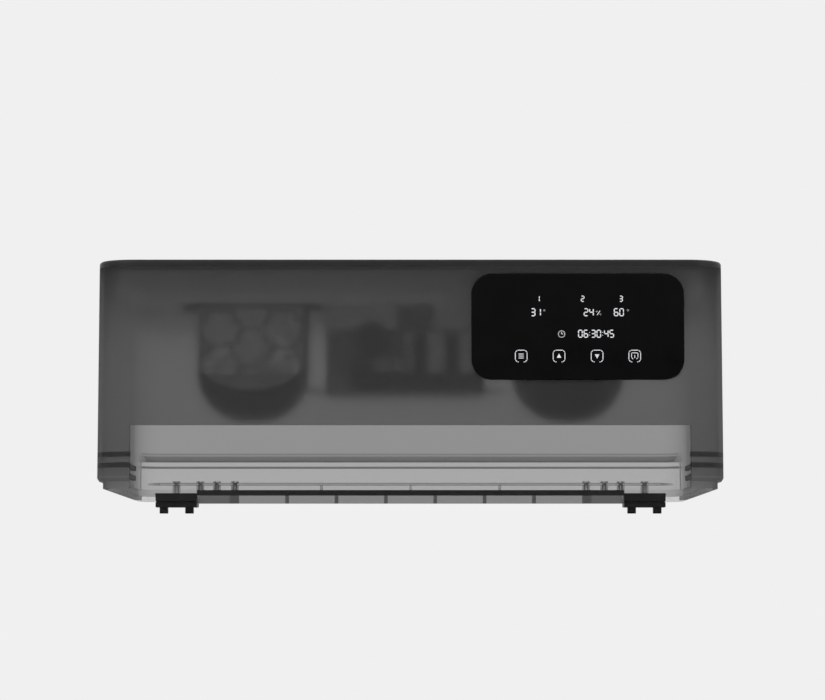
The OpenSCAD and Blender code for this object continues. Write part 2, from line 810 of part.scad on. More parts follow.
module fan_housing() {
    color([0.1, 0.1, 0.105]) difference() {
        union() {
            hull() {
                along_y(face_t, thin) drum_outline(mouth_r, fan_drop);
                along_y(drum_d - thin, thin) drum_outline(drum_r, fan_drop);
            }
            along_y(0, face_t + 0.5) difference() {
                drum_outline(mouth_r, fan_drop);
                arc_disc(0);
            }
            drum_ears();
        }
        along_y(face_t, plenum - face_t) drum_outline(mouth_r - drum_wall, fan_drop - drum_wall);
        rod_y(0, plenum - 0.5, 0, bore_r, drum_d);
        for (s = [-1, 1]) translate([s * (drum_r + ear / 2), drum_d / 2, fan_drop - 10])
            cylinder(r = small_r + running, h = 20);
    }
}

// Guard over the mouth of the drum: honeycomb above, a plain band along the arc
module fan_guard() {
    inner = mouth_r - guard_edge;
    step_x = 1.5 * cell_side;
    step_z = sqrt(3) * cell_side;
    color([0.22, 0.22, 0.23]) along_y(0, guard_t) difference() {
        intersection() {
            drum_outline(mouth_r, fan_drop);
            arc_disc(-slip);
        }
        intersection() {
            translate([-inner, band_top]) square([2 * inner, fan_drop - guard_edge - band_top]);
            for (i = [-2 : 2], j = [-2 : 2])
                translate([i * step_x, cell_z + (j + (i % 2 == 0 ? 0 : 0.5)) * step_z])
                    circle(cell_side - cell_rib / sqrt(3), $fn = 6);
        }
    }
}

module fan_screen() {
    color([0.45, 0.45, 0.46]) along_y(guard_t, screen_t) intersection() {
        drum_outline(mouth_r - 0.4, fan_drop - 0.4);
        arc_disc(-slip);
    }
}

// Motor on three struts across the open side of the drum
module fan_motor() {
    y = drum_d - motor_t;
    color([0.09, 0.09, 0.095]) difference() {
        union() {
            rod_y(0, y, 0, motor_r, motor_t);
            intersection() {
                rod_y(0, y + 1.5, 0, bore_r - running, motor_t - 1.5);
                for (a = [30 : 120 : 270]) rotate([0, a, 0])
                    translate([motor_r - 1, y + 1.5, -strut_w / 2]) cube([bore_r, motor_t - 1.5, strut_w]);
            }
        }
        rod_y(0, y - 1, 0, shaft_d / 2 + running, motor_t);
    }
}

// One blade: a cambered strip that leaves the hub along +X, pitched across the flow
module blade() {
    along_x(hub_r - 1.5, bore_r) intersection() {
        translate([blade_bend_r * cos(blade_pitch), -blade_bend_r * sin(blade_pitch)]) difference() {
            circle(blade_bend_r + blade_t / 2);
            circle(blade_bend_r - blade_t / 2);
        }
        square([rotor_d - 1.6, 20], center = true);
    }
}

module fan_rotor() {
    color([0.13, 0.13, 0.135]) translate([0, rotor_y, 0]) difference() {
        union() {
            rotate([-90, 0, 0]) rotate_extrude() polygon([
                [0, 0.6], [hub_r - 3, 0.6], [hub_r, 2.4], [hub_r, rotor_d], [0, rotor_d]]);
            intersection() {
                translate([0, rotor_d / 2, 0])
                    for (i = [0 : blades - 1]) rotate([0, i * 360 / blades, 0]) blade();
                rod_y(0, 0, 0, rotor_r, rotor_d);
            }
        }
        rod_y(0, 3, 0, shaft_d / 2, rotor_d);
    }
}

module fan_shaft() {
    color([0.75, 0.75, 0.77]) rod_y(0, rotor_y + 3, 0, shaft_d / 2, drum_d - rotor_y - 4.5);
}

// Screw places through the ears of both drums
function fan_ears() = [
    for (s = [-1, 1], e = [-1, 1])
        [s * fan_spacing / 2 + e * (drum_r + ear / 2), fan_y + drum_d * (s < 0 ? 0.5 : 1.5)]
];

// The left fan blows back and the right one is the same unit turned round, behind its level
module left_fan() { translate([-fan_spacing / 2, fan_y, fan_z]) children(); }
module right_fan() { translate([fan_spacing / 2, fan_y + 2 * drum_d, fan_z]) rotate([0, 0, 180]) children(); }

module fan_housing_left() { left_fan() fan_housing(); }
module fan_housing_right() { right_fan() fan_housing(); }
module fan_guard_left() { left_fan() fan_guard(); }
module fan_guard_right() { right_fan() fan_guard(); }
module fan_screen_left() { left_fan() fan_screen(); }
module fan_screen_right() { right_fan() fan_screen(); }
module fan_motor_left() { left_fan() fan_motor(); }
module fan_motor_right() { right_fan() fan_motor(); }
module fan_rotor_left() { left_fan() fan_rotor(); }
module fan_rotor_right() { right_fan() fan_rotor(); }
module fan_shaft_left() { left_fan() fan_shaft(); }
module fan_shaft_right() { right_fan() fan_shaft(); }

module fan_screws() {
    color([0.6, 0.6, 0.62]) for (p = fan_ears())
        translate([p[0], p[1], deck_z - ear_t]) screw(small_r, ear_t + deck_t + 1, 2.4, 1.4);
}

// ---- heater ----

// Middles of the duct's flanges: one in front, in the gap of the apron, and two behind
function duct_ears() = [
    [(apron_gap[0] + apron_gap[1]) / 2, duct_y - flange_w / 2],
    [duct_left + 12, duct_back + flange_w / 2],
    [duct_right - 12, duct_back + flange_w / 2]
];

// Sheet duct: a closed bay for the controls on the left, an open channel for the core on the right
module heater_duct() {
    ceiling = deck_z - duct_t;
    color([0.12, 0.12, 0.125]) difference() {
        union() {
            difference() {
                union() {
                    block([duct_left, duct_y, duct_z], [duct_right, duct_back, deck_z]);
                    for (p = duct_ears())
                        translate([p[0], p[1], deck_z - duct_t / 2])
                            cube([flange_l, flange_w + 1, duct_t], center = true);
                }
                block([core_x, duct_y - 1, core_low], [duct_right - duct_t, duct_y + 4, core_high]);
                block([core_x, duct_y + duct_t, duct_z + duct_t],
                      [duct_right - duct_t, duct_back + 1, ceiling]);
                block([duct_left + duct_t, duct_y + duct_t, duct_z + duct_t],
                      [core_x - duct_t, duct_back + 1, ceiling]);
            }
            block([duct_left - tie_reach[0], duct_back - tie_d, tie_z],
                  [duct_right + tie_reach[1], duct_back, tie_z + tie_h]);
        }
        for (x = lead_x) translate([x, lead_y, deck_z - 5]) cylinder(r = lead_hole_r, h = 8);
        for (p = duct_ears()) translate([p[0], p[1], deck_z - 8]) cylinder(r = small_r + running, h = 20);
    }
}

// Finned block between the elements: upright plates joined by level fins
module heater_core() {
    half = element_w / 2;
    edges = [core_x + 0.2, element_x[0] - half, element_x[0] + half,
             element_x[1] - half, element_x[1] + half, duct_right - duct_t - 0.2];
    color([0.75, 0.76, 0.78]) for (k = [0, 2, 4]) {
        left = edges[k] + (k == 0 ? 0 : slip);
        right = edges[k + 1] - (k == 4 ? 0 : slip);
        for (x = [left, right - fin_edge])
            block([x, core_y, core_low], [x + fin_edge, core_y + core_d, core_high]);
        for (z = [core_low + 0.6 : fin_pitch : core_high - 0.6])
            block([left, core_y, z], [right, core_y + core_d, z + fin_t]);
    }
}

// Two upright elements and the clamp bar across the foot of the duct
module heater_elements() {
    half = element_w / 2;
    color([0.16, 0.15, 0.15]) {
        for (x = element_x)
            block([x - half, core_y - 1, duct_z + duct_t], [x + half, core_y + core_d + 1, deck_z - duct_t]);
        block([fuse_x + fuse_size[0] + 0.4, duct_y - 2.5, clamp_z[0]],
              [duct_right - duct_t, duct_y, clamp_z[1]]);
    }
}

module heater_screws() {
    color([0.6, 0.6, 0.62]) for (p = duct_ears())
        translate([p[0], p[1], deck_z - duct_t]) screw(small_r, duct_t + deck_t + 1, 2.4, 1.4);
}

// Round bimetal cut-out on the face of the control bay
module thermal_cutout() {
    color([0.07, 0.07, 0.075]) {
        rod_y(cutout_x, duct_y - 5, cutout_z, cutout_r, 5);
        for (x = [-3.4, 2.6]) translate([cutout_x + x, duct_y - 10, cutout_z - 3]) cube([0.8, 5.2, 6]);
    }
}

module thermal_fuse() {
    color([0.08, 0.08, 0.085]) translate([fuse_x, duct_y - fuse_size[1], clamp_z[0]]) cube(fuse_size);
}

module terminal_block() {
    middle = (block_x[0] + block_x[1]) / 2;
    color([0.55, 0.55, 0.54]) difference() {
        block([block_x[0], duct_y - block_d, block_z[0]], [block_x[1], duct_y, block_z[1]]);
        for (i = [-1 : 1]) {
            x = middle + i * block_pitch;
            translate([x, duct_y - block_d / 2, block_z[1] - 2]) cylinder(r = 2, h = 3);
            rod_y(x, duct_y - block_d - 1, block_z[0] + 4, 1.6, 3);
        }
    }
}

module heater_leads() {
    low = duct_z + 12;
    color([0.75, 0.1, 0.08]) for (x = lead_x)
        translate([x, lead_y, low]) cylinder(r = lead_r, h = deck_floor + 2 - low);
}

// Vented case for the humidity and temperature sensor
module humidity_sensor() {
    color([0.85, 0.85, 0.84]) translate([sensor_x, sensor_y, deck_z - sensor_size[2]]) difference() {
        cube(sensor_size);
        for (i = [0 : 3]) translate([3 + i * 3.6, -1, 2]) cube([1.6, sensor_size[1] + 2, 6.5]);
    }
}

hood_shell();
top_panel();
rim_seal();
rear_rail();
rail_screws();
hinge_leaf_left();
hinge_leaf_right();
hinge_foot_left();
hinge_foot_right();
hinge_pin_left();
hinge_pin_right();
display_glass();
display_gasket();
display_reflector();
display_board();
display_housing();
display_screws();
display_cable();
heater_deck();
deck_screws();
power_board();
power_transformer();
power_capacitors();
power_inlet();
inlet_pins();
inlet_boot();
inlet_leads();
fan_housing_left();
fan_housing_right();
fan_guard_left();
fan_guard_right();
fan_screen_left();
fan_screen_right();
fan_motor_left();
fan_motor_right();
fan_rotor_left();
fan_rotor_right();
fan_shaft_left();
fan_shaft_right();
fan_screws();
heater_duct();
heater_core();
heater_elements();
heater_screws();
thermal_cutout();
thermal_fuse();
terminal_block();
heater_leads();
humidity_sensor();
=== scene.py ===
"""Finishes, computed surfaces, light and camera for a smoked filament drying hood."""

import json
import math

import bmesh
import bpy
import numpy as np
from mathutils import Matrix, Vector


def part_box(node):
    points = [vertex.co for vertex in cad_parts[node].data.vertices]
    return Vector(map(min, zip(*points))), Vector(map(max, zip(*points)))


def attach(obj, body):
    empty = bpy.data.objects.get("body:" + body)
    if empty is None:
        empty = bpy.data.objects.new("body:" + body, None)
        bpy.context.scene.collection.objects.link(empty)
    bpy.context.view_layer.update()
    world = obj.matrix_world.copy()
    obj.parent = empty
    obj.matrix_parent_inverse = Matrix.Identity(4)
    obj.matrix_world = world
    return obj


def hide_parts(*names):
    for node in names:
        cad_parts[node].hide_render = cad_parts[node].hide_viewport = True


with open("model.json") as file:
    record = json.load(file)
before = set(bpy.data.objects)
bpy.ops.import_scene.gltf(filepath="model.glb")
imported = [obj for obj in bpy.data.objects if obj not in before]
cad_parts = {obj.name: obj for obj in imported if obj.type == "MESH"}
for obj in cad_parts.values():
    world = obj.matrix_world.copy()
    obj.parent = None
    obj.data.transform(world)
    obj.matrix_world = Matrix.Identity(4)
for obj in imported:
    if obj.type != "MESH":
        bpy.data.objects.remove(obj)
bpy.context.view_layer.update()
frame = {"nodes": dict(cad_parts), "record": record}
nodes = frame["nodes"]


# ---- finishes ----

# Share of light that a millimetre of smoked plastic leaves, for what is seen through it and for what lights
# the inside.
SMOKE_SEEN, SMOKE_PASSED = 0.732, 0.825
NOISE_LOW, NOISE_HIGH = 0.3, 0.7  # nearly all of a noise lies between these
DRIFT, SHEEN, GRAIN = 60, 220, 2600  # noise scales, from a slow change of colour to a spark-eroded grain
GRAIN_DEPTH = 0.0001


class Value:
    """A socket of a finish's node tree. Operators on it add Math nodes."""

    def __init__(self, finish, socket):
        self.finish, self.socket = finish, socket

    def maths(self, operation, *values):
        return self.finish.node("ShaderNodeMath", {"operation": operation}, dict(enumerate(values)))

    def __add__(self, other):
        return self.maths("ADD", self, other)

    def __mul__(self, other):
        return self.maths("MULTIPLY", self, other)

    def __pow__(self, other):
        return self.maths("POWER", self, other)

    def __rpow__(self, other):
        return self.maths("POWER", other, self)

    __radd__ = __add__
    __rmul__ = __mul__


class Finish:
    """A material with one Principled shader, whose constants are set on its own sockets."""

    def __init__(self, name, **constants):
        self.material = bpy.data.materials.new(name)
        self.material.use_nodes = True
        self.tree = self.material.node_tree
        self.shader = self.tree.nodes["Principled BSDF"]
        self.surface = Value(self, self.shader.outputs[0])
        for key, value in constants.items():
            socket = key.replace("_", " ").title().replace("Ior", "IOR")
            self.shader.inputs[socket].default_value = value

    def node(self, kind, settings=None, values=None, out=0):
        """Any node: its settings first, then the values or links of its sockets."""
        made = self.tree.nodes.new(kind)
        for key, value in (settings or {}).items():
            if key == "stops":
                ramp = made.color_ramp
                while len(ramp.elements) < len(value):
                    ramp.elements.new(0.5)
                for element, (place, colour) in zip(ramp.elements, value):
                    element.position, element.color = place, (*colour, 1)
            else:
                setattr(made, key, value)
        for key, value in (values or {}).items():
            if isinstance(value, Value):
                self.tree.links.new(value.socket, made.inputs[key])
            else:
                made.inputs[key].default_value = value
        return Value(self, made.outputs[out])

    def feed(self, **values):
        for key, value in values.items():
            self.tree.links.new(value.socket, self.shader.inputs[key.replace("_", " ")])
        return self

    def show(self, factor, first, second):
        """Put a mix of two shaders on the surface in place of the Principled shader alone."""
        mix = self.node("ShaderNodeMixShader", None, {0: factor, 1: first, 2: second})
        self.tree.links.new(mix.socket, self.tree.nodes["Material Output"].inputs["Surface"])
        return self

    def place(self):
        return self.node("ShaderNodeTexCoord", out="Object")

    def noise(self, scale, detail=3):
        return self.node("ShaderNodeTexNoise", None, {
            "Vector": self.place(), "Scale": scale, "Detail": detail}, "Fac")

    def ramp(self, value, *stops):
        return self.node("ShaderNodeValToRGB", {"stops": stops}, {"Fac": value}, "Color")

    def grey_ramp(self, value, *stops):
        return self.ramp(value, *((place, (level,) * 3) for place, level in stops))

    def between(self, noise, dark, light):
        """Colour that a noise moves between two others."""
        return self.ramp(noise, (NOISE_LOW, dark), (NOISE_HIGH, light))

    def spread(self, noise, low, high):
        """Number that a noise moves between two others."""
        return self.node("ShaderNodeMapRange", None, {
            "Value": noise, "From Min": NOISE_LOW, "From Max": NOISE_HIGH, "To Min": low, "To Max": high})

    def grey(self, value):
        return self.node("ShaderNodeCombineColor", None, {
            "Red": value, "Green": value, "Blue": value}, "Color")

    def times(self, one, other):
        return self.node("ShaderNodeMix", {"data_type": "RGBA", "blend_type": "MULTIPLY"},
                         {0: 1.0, 6: one, 7: other}, 2)

    def bump(self, height, strength, distance=GRAIN_DEPTH):
        return self.feed(Normal=self.node("ShaderNodeBump", None, {
            "Height": height, "Strength": strength, "Distance": distance}, "Normal"))


def tinted(finish, colour, change, scale):
    """Base colour that drifts a little either side of the one given."""
    dark = tuple(c * (1 - change) for c in colour)
    light = tuple(min(1, c * (1 + change)) for c in colour)
    return finish.feed(Base_Color=finish.between(finish.noise(scale), dark, light))


def moulded(name, colour, roughness, grain=0.3, change=0.25, **constants):
    """Moulded plastic: a fine spark-eroded grain, a slow drift of colour and uneven sheen."""
    finish = tinted(Finish(name, **constants), colour, change, DRIFT)
    finish.feed(Roughness=finish.spread(finish.noise(SHEEN, 4), roughness - 0.06, roughness + 0.08))
    return finish.bump(finish.noise(GRAIN, 2), grain)


def metal(name, colour, roughness):
    """Plated or rolled metal with fine scratches and cloudy sheen."""
    cloud, scratches, scratch_depth = 90, 900, 0.00005
    finish = tinted(Finish(name, metallic=1.0), colour, 0.12, 2 * DRIFT)
    finish.feed(Roughness=finish.spread(finish.noise(cloud, 5), roughness - 0.08, roughness + 0.12))
    return finish.bump(finish.noise(scratches, 2), 0.15, scratch_depth)


def smoked_plastic(name):
    """Smoked clear plastic, frosted so that it blurs what is behind it. It takes a share of the light for
    every millimetre of its stored thickness, and more where it is met at a slant. Rays that don't come
    straight from the camera, such as light on its way inside, pass by a plain tint, which is a mix of a
    clear shader and a black one."""
    finish = Finish(name, transmission_weight=0.92, ior=1.13)
    slant = finish.node("ShaderNodeLayerWeight", None, {"Blend": 0.5}, "Facing")
    depth = finish.node("ShaderNodeAttribute", {"attribute_name": "thickness"}, out="Fac")
    seen = finish.grey_ramp(slant, (0.0, 1.0), (0.45, 0.667), (0.75, 0.45), (1.0, 0.35))
    passed = finish.grey_ramp(slant, (0.5, 1.0), (0.95, 0.58))
    finish.feed(
        Base_Color=finish.times(seen, finish.grey(SMOKE_SEEN ** depth)),
        Roughness=finish.spread(finish.noise(14, 2), 0.56, 0.6))
    tint = finish.times(passed, finish.grey(SMOKE_PASSED ** depth))
    shut = finish.node("ShaderNodeBsdfTransparent", None, {"Color": (0, 0, 0, 1)})
    clear = finish.node("ShaderNodeBsdfTransparent")
    passing = finish.node("ShaderNodeMixShader", None, {0: tint, 1: shut, 2: clear})
    return finish.show(finish.node("ShaderNodeLightPath", out="Is Camera Ray"), passing, finish.surface)


def clear_silicone(name):
    """Milky clear rubber, a little cloudier in places."""
    finish = Finish(name, specular_ior_level=0.3)
    milky = finish.noise(90)
    return finish.feed(
        Base_Color=finish.between(milky, (0.62, 0.64, 0.65), (0.78, 0.8, 0.81)),
        Alpha=finish.spread(milky, 0.2, 0.28),
        Roughness=finish.spread(milky, 0.35, 0.5))


def painted_metal(name):
    """Black paint that turns a lighter grey between about four and seven centimetres up, so that parts high
    in the hood are lighter than parts low down.
    """
    black_below, grey_above = 0.04, 0.07  # heights in metres
    finish = Finish(name)
    height = finish.node("ShaderNodeSeparateXYZ", None, {0: finish.place()}, "Z")
    drift = finish.noise(DRIFT) * 0.02 + height
    finish.feed(
        Base_Color=finish.ramp(drift, (black_below, (0.06, 0.06, 0.061)), (grey_above, (0.15, 0.15, 0.152))),
        Roughness=finish.spread(finish.noise(SHEEN, 4), 0.38, 0.5))
    return finish.bump(finish.noise(GRAIN, 2), 0.5)


def circuit_board(name):
    """Green lacquer over copper tracks, with a lighter green where a track runs under it."""
    finish = Finish(name, roughness=0.35)
    tracks = finish.node("ShaderNodeTexBrick", {"offset": 0.5}, {
        "Vector": finish.place(), "Scale": 260.0, "Mortar Size": 0.012, "Brick Width": 0.9,
        "Row Height": 0.35}, "Fac")
    finish.feed(Base_Color=finish.ramp(tracks, (0.2, (0.012, 0.09, 0.035)), (0.8, (0.03, 0.17, 0.07))))
    return finish.bump(tracks, 0.4)


def lit_white(name):
    """Lit white figures, a little uneven in brightness."""
    finish = Finish(name, roughness=0.5, emission_strength=1.0)
    glow = finish.noise(300, 2)
    return finish.feed(
        Emission_Color=finish.between(glow, (0.62, 0.64, 0.66), (0.82, 0.83, 0.85)),
        Base_Color=finish.between(glow, (0.05, 0.05, 0.05), (0.08, 0.08, 0.08)))


PLASTICS = {
    "black_satin_plastic": dict(colour=(0.009, 0.009, 0.0095), roughness=0.45, specular_ior_level=0.25),
    "hinge_plastic": dict(colour=(0.036, 0.036, 0.037), roughness=0.5, grain=0.4),
    "black_glass": dict(colour=(0.0022, 0.0022, 0.0025), roughness=0.12, grain=0.02, specular_ior_level=0.05),
    "adhesive_foam": dict(colour=(0.02, 0.02, 0.02), roughness=0.9, grain=0.8),
    "white_plastic": dict(colour=(0.72, 0.72, 0.7), roughness=0.5, change=0.05),
    "grey_plastic": dict(colour=(0.56, 0.56, 0.565), roughness=0.5, change=0.06),
    "transformer_tape": dict(colour=(0.75, 0.55, 0.06), roughness=0.4, grain=0.2),
    "capacitor_sleeve": dict(colour=(0.02, 0.02, 0.07), roughness=0.35, grain=0.1),
    "black_plastic": dict(colour=(0.02, 0.02, 0.021), roughness=0.42),
    "black_lead": dict(colour=(0.02, 0.02, 0.02), roughness=0.45, grain=0.2),
    "fan_plastic": dict(colour=(0.022, 0.022, 0.023), roughness=0.48),
    "guard_plastic": dict(colour=(0.22, 0.22, 0.223), roughness=0.45, change=0.08),
    "rotor_plastic": dict(colour=(0.03, 0.03, 0.031), roughness=0.4),
    "element_ceramic": dict(colour=(0.035, 0.033, 0.032), roughness=0.6, grain=0.5),
    "terminal_grey": dict(colour=(0.2, 0.2, 0.2), roughness=0.5),
    "red_lead": dict(colour=(0.5, 0.02, 0.015), roughness=0.4, grain=0.2),
}
METALS = {
    "plated_steel": dict(colour=(0.62, 0.62, 0.64), roughness=0.3),
    "wire_screen": dict(colour=(0.6, 0.6, 0.61), roughness=0.5),
    "fin_aluminium": dict(colour=(0.22, 0.223, 0.23), roughness=0.45),
}
OTHERS = {
    "smoked_plastic": smoked_plastic,
    "clear_silicone": clear_silicone,
    "black_painted_metal": painted_metal,
    "circuit_board": circuit_board,
    "lit_figures": lit_white,
}
FINISHES = {name: moulded(name, **look) for name, look in PLASTICS.items()}
FINISHES.update({name: metal(name, **look) for name, look in METALS.items()})
FINISHES.update({name: make(name) for name, make in OTHERS.items()})

for part in frame["record"]["subparts"]:
    cad = nodes[part["node"]]
    cad.data.materials.clear()
    cad.data.materials.append(FINISHES[part["material_slot"]].material)


# ---- computed surfaces: every measure in millimetres until a piece is made ----

MM_IN_METRE, METRES_IN_MM = 1000, 0.001
SIDES = (-1, 1)  # left and right


def corners_of(node):
    low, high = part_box(node)
    return np.array(low) * MM_IN_METRE, np.array(high) * MM_IN_METRE


def piece(name, points, faces, slot, body, replaced=(), smooth=30, thickness=None, finish=None):
    """A closed mesh in the shared frame that rides on a body. Its faces are turned outwards, and edges
    flatter than the angle given are shaded smooth. Its finish is the slot's unless another is named."""
    mesh = bpy.data.meshes.new(name)
    places = (np.asarray(points) * METRES_IN_MM).tolist()
    mesh.from_pydata(places, [], [list(map(int, face)) for face in faces])
    shape = bmesh.new()
    shape.from_mesh(mesh)
    bmesh.ops.recalc_face_normals(shape, faces=shape.faces)
    shape.to_mesh(mesh)
    shape.free()
    mesh.shade_smooth()
    mesh.set_sharp_from_angle(angle=math.radians(smooth))
    if thickness is not None:
        layer = mesh.attributes.new("thickness", "FLOAT", "POINT")
        layer.data.foreach_set("value", np.asarray(thickness, dtype=np.float32))
    mesh.materials.append(FINISHES[finish or slot].material)
    thing = bpy.data.objects.new(name, mesh)
    bpy.context.scene.collection.objects.link(thing)
    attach(thing, body)
    if replaced:
        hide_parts(*replaced)


def loops(sections):
    """Points and faces of a skin over closed loops of equal length, given as an array of loops, with its two
    ends closed by flat faces."""
    sections = np.asarray(sections, float)
    count, size = sections.shape[:2]
    row, column = np.meshgrid(np.arange(count - 1), np.arange(size), indexing="ij")
    after = (column + 1) % size
    quads = np.stack([row * size + column, row * size + after, (row + 1) * size + after,
                      (row + 1) * size + column], axis=-1).reshape(-1, 4)
    ends = [list(range(size)), list(range((count - 1) * size, count * size))]
    return sections.reshape(-1, 3), quads.tolist() + ends


def joined(parts):
    """Several (points, faces) as one."""
    points, faces, start = [], [], 0
    for some, their in parts:
        points.append(some)
        faces += [[index + start for index in face] for face in their]
        start += len(some)
    return np.concatenate(points), faces


def round_bar(start, end, radius, sides=16):
    """Cylinder between two points: circles round the line that joins them."""
    start, end = np.array(start, float), np.array(end, float)
    along = (end - start) / np.linalg.norm(end - start)
    across = np.cross(along, [1, 0, 0] if abs(along[0]) < 0.9 else [0, 1, 0])
    across /= np.linalg.norm(across)
    turn = np.linspace(0, 2 * np.pi, sides, endpoint=False)[:, None]
    ring = radius * (np.cos(turn) * across + np.sin(turn) * np.cross(along, across))
    return loops(np.stack([start + ring, end + ring]))


def block(low, high):
    """Box between two corners: its rectangle at the lower and at the upper level."""
    (x0, y0, z0), (x1, y1, z1) = low, high
    ring = np.array([[x0, y0], [x1, y0], [x1, y1], [x0, y1]])
    return loops(np.stack([np.column_stack([ring, np.full(len(ring), z)]) for z in (z0, z1)]))


def rounded(middle, half, radius, inset, turns):
    """Rectangle with round corners, moved in by a distance, anticlockwise: four quarter circles that keep
    their middles while their radius shrinks. Gives its two coordinates."""
    angle = np.radians(np.concatenate([np.linspace(start, start + 90, turns) for start in (-90, 0, 90, 180)]))
    right = np.repeat([1, 1, -1, -1], turns)
    far = np.repeat([-1, 1, 1, -1], turns)
    reach = radius - inset
    return (middle[0] + right * (half[0] - radius) + np.cos(angle) * reach,
            middle[1] + far * (half[1] - radius) + np.sin(angle) * reach)


# ---- hood walls ----

CORNER = 22.0  # radius of the outline's corners
LEAN = 0.8  # how far each side has come in at the top
WALL, THIN_WALL = 3.0, 2.0
STEP = 0.004  # half the height of a sharp step
STRAIGHT = 0.999  # a wall faces straight to the front or the rear past this

# Levels upwards, then how far in from the outline the faces of the lip, the flare and the skirt lie.
SKIRT_LOW, RIM, SKIRT_TOP, WALL_LOW, FLARE_TOP, LEDGE, THIN_TOP = 6.8, 8.7, 11.95, 12.9, 14.9, 15.9, 34.5
LIP_OUT, LIP_IN, FLARE, SKIRT_OUT = 3.5, 5.9, 1.3, 2.4

NOTCH_HALF, NOTCH_TOP = 167.7, 46.2
SLOT_OUT, SLOT_TOP = 172.35, 13.8
WINDOW_OUT, WINDOW_TOP = 182.35, 11.4
DISPLAY_CUT, DISPLAY_CUT_SIDE = (77.6, 132.3), 10
INLET_CUT, INLET_CUT_SIDE = (95.1, 114.9), 1.9

SKIRT_PITCH, SKIRT_HALF, SKIRT_RIB_HALF, SKIRT_RIBS = 33.3, 142.65, 1.15, (-2.5, -1.5, -0.5, 0.5, 1.5, 2.5)
SKIRT_RIBS_WITHIN, SKIRT_BOSS = 90, (115.85, 121.85)
SKIRT_END_IN, SKIRT_RIB_IN = 7.9, 9.9
LIP = 18.0  # radius of the lip's corners

# Each rib's bottom and top, and for a rear rib how far in its face lies at each of them.
FRONT_RIBS, FRONT_RIB_DEEP = ((20.9, 24.0), (27.4, 30.4)), 3
REAR_RIBS = ((30.4, 31.7, 5.0, 5.0), (35.0, 38.4, 8.0, 5.5), (39.8, 40.5, 4.3, 4.3))
SHELF_LOW, SHELF_TOP, SHELF_IN = 18.95, 20.3, 19.0
SHELF_TURN, REAR_TURN = 32, 52  # degrees round each rear corner that the shelf and the rear ribs run on

# Thickness as it looks, where that isn't the distance between the two faces.
LOOK_MOST, LOOK_SHELF, LOOK_FOOT, LOOK_POSTS = 6.8, 2.4, 2.4, 0.8
LOOK_RIB, LOOK_RIB_LOW, LOOK_RIB_TOP, LOOK_RIB_SLOPE = 4.0, 34.7, 38.7, 0.22


def stepped(*edges):
    """Two lines at each edge, so that a step between them is sharp."""
    return [edge + side for edge in edges for side in (-STEP, STEP)]


def display_opening():
    low, high = corners_of("display_glass")
    return low[0] + DISPLAY_CUT_SIDE, high[0] - DISPLAY_CUT_SIDE


def inlet_opening():
    low, high = corners_of("power_inlet")
    return low[0] + INLET_CUT_SIDE, high[0] - INLET_CUT_SIDE


def hood_columns(low, high):
    """Lines round the hood: the middle that each is drawn from and the way it faces. The outline moved in by
    a distance is middle + facing * (corner radius - distance)."""
    half, front, back = high[0] - CORNER, low[1] + CORNER, high[1] - CORNER
    ribs = [i * SKIRT_PITCH + side * SKIRT_RIB_HALF for i in SKIRT_RIBS for side in SIDES]
    ribs += [side * x for side in SIDES for x in SKIRT_BOSS]
    front_x = np.sort(np.concatenate([np.linspace(-half, half, 25), display_opening()]))
    rear_x = np.sort(np.concatenate([
        np.linspace(-half + 1, half - 1, 17), [-half, half], stepped(*ribs), [-SKIRT_HALF, SKIRT_HALF],
        inlet_opening()]))[::-1]
    side_y = np.sort(np.concatenate([np.linspace(front, back, 15), stepped(high[1] - 2 * CORNER)]))
    turn = np.arange(4.0, 90, 4.3)
    notch = np.degrees(np.arcsin((NOTCH_HALF - half) / CORNER))
    slot, window = (np.degrees(np.arcsin((edge - half) / LIP)) for edge in (SLOT_OUT, WINDOW_OUT))
    ahead = np.sort(np.concatenate([[notch], turn[turn > notch]]))
    behind = np.sort(np.concatenate([[slot, window], stepped(SHELF_TURN, REAR_TURN), turn]))
    middles, facings = [], []

    def straight(x, y, facing):
        x, y = np.broadcast_arrays(x, y)
        middles.append(np.column_stack([x, y]))
        facings.append(np.broadcast_to(facing, (len(x), 2)))

    def corner(x, y, degrees):
        angle = np.radians(degrees)
        middles.append(np.broadcast_to([x, y], (len(angle), 2)))
        facings.append(np.column_stack([np.cos(angle), np.sin(angle)]))

    straight(front_x, front, (0, -1))
    corner(half, front, -90 + ahead)
    straight(half, side_y, (1, 0))
    corner(half, back, 90 - behind[::-1])
    straight(rear_x, back, (0, 1))
    corner(-half, back, 90 + behind)
    straight(-half, side_y[::-1], (-1, 0))
    corner(-half, front, -90 - ahead[::-1])
    return np.concatenate(middles), np.concatenate(facings)


def hood_rows(top):
    """Levels up the hood: every edge, and a few between them that keep the cells even."""
    rows = [70, 104, 124, *DISPLAY_CUT, *INLET_CUT, top]
    rows += [SKIRT_LOW, RIM, WINDOW_TOP, SLOT_TOP, FLARE_TOP, NOTCH_TOP]
    rows += stepped(SKIRT_TOP, WALL_LOW, LEDGE, THIN_TOP, SHELF_LOW, SHELF_TOP)
    rows += stepped(*[z for rib in FRONT_RIBS + REAR_RIBS for z in rib[:2]])
    rows = np.array(sorted(rows))
    return rows[np.concatenate([[True], np.diff(rows) > STEP])]


